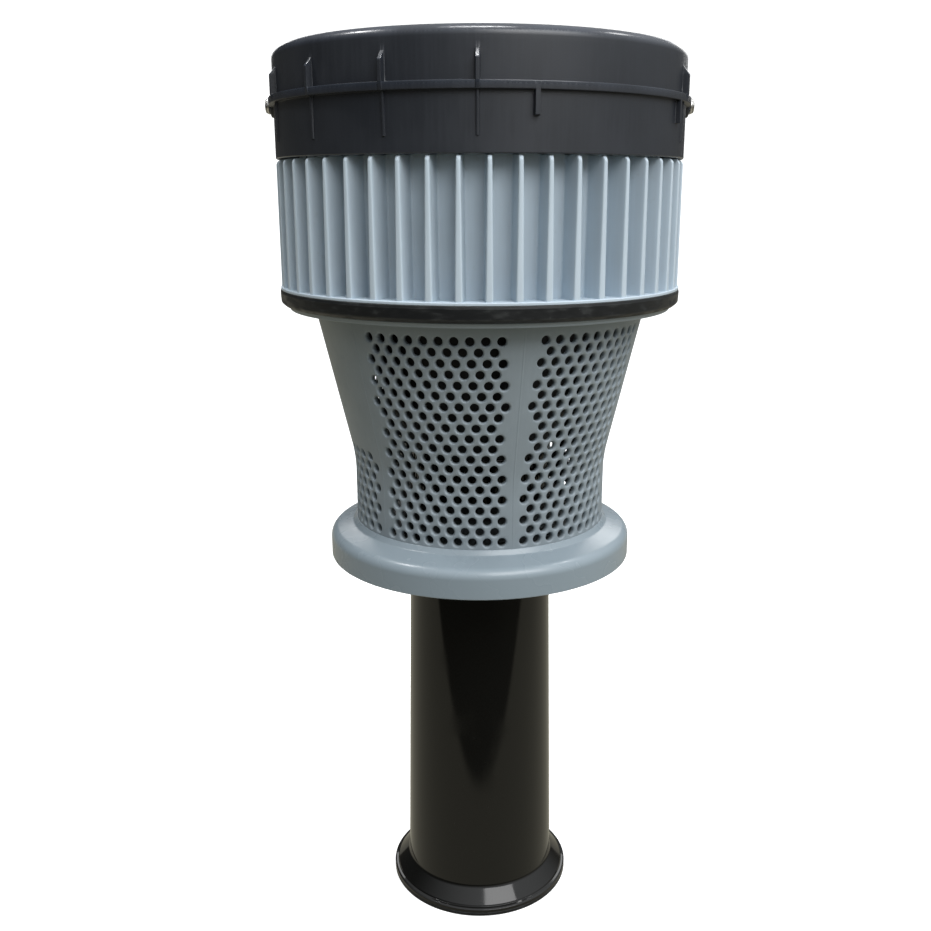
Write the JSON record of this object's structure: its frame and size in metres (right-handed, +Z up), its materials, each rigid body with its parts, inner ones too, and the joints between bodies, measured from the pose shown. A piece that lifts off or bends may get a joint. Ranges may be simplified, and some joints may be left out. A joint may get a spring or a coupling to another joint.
{
  "type": "pond surface skimmer",
  "caption": "Pond surface skimmer on a flared down tube: perforated strainer cone, ribbed housing, floating weir collar with carry handle, and lift-out debris basket.",
  "frame": {"origin": "middle of the bottom face of the flared foot's rubber ring, which the skimmer stands on", "axes": "+Z up along the tube's axis; -Y is the front; the carry handle hinges about the X axis and lies behind, at +Y"},
  "size_m": [0.2102, 0.2058, 0.4507],
  "materials": {
    "black_gloss": "polished black moulded tube with soft reflections",
    "black_satin": "satin black moulding",
    "black_rubber": "near-black rubber, slightly smudged",
    "grey_plastic": "light blue-grey satin moulding with fine grain",
    "grey_gloss": "light blue-grey moulding, glossier than the housing",
    "charcoal_plastic": "dark charcoal satin moulding with a glossy rim",
    "white_foam": "closed-cell float foam",
    "stainless_steel": "bright stainless wire and screw heads"
  },
  "bodies": {
    "stand": {"down_tube": "black_gloss", "rim_seal": "black_rubber", "base_flange": "grey_gloss", "strainer_cone": "grey_plastic", "seal_band": "black_rubber", "ribbed_housing": "grey_plastic", "outlet_funnel": "black_satin", "funnel_gasket": "black_rubber", "tube_o_ring": "black_rubber", "tube_retaining_ring": "black_satin", "housing_screws": "stainless_steel"},
    "float": {"collar_shell": "charcoal_plastic", "collar_floor": "charcoal_plastic", "float_foam": "white_foam", "weir_sleeve": "black_satin", "sleeve_seal": "black_rubber", "handle_pivot_screws": "stainless_steel"},
    "handle": {"carry_handle": "stainless_steel"},
    "basket": {"debris_basket": "black_satin"},
    "basket_bail": {"basket_handle": "charcoal_plastic"}
  },
  "joints": [
    {"name": "float_rise", "type": "slide", "parent": "stand", "child": "float", "axis": [0, 0, 1], "range_m": [0, 0.04]},
    {"name": "handle_hinge", "type": "hinge", "parent": "float", "child": "handle", "pos_m": [0, 0, 0.4266], "axis": [1, 0, 0], "range_deg": [0, 216]},
    {"name": "basket_lift", "type": "slide", "parent": "stand", "child": "basket", "axis": [0, 0, 1], "range_m": [0, 0.18]},
    {"name": "basket_handle_hinge", "type": "hinge", "parent": "basket", "child": "basket_bail", "pos_m": [0, 0, 0.4188], "axis": [1, 0, 0], "range_deg": [0, 180]}
  ]
}
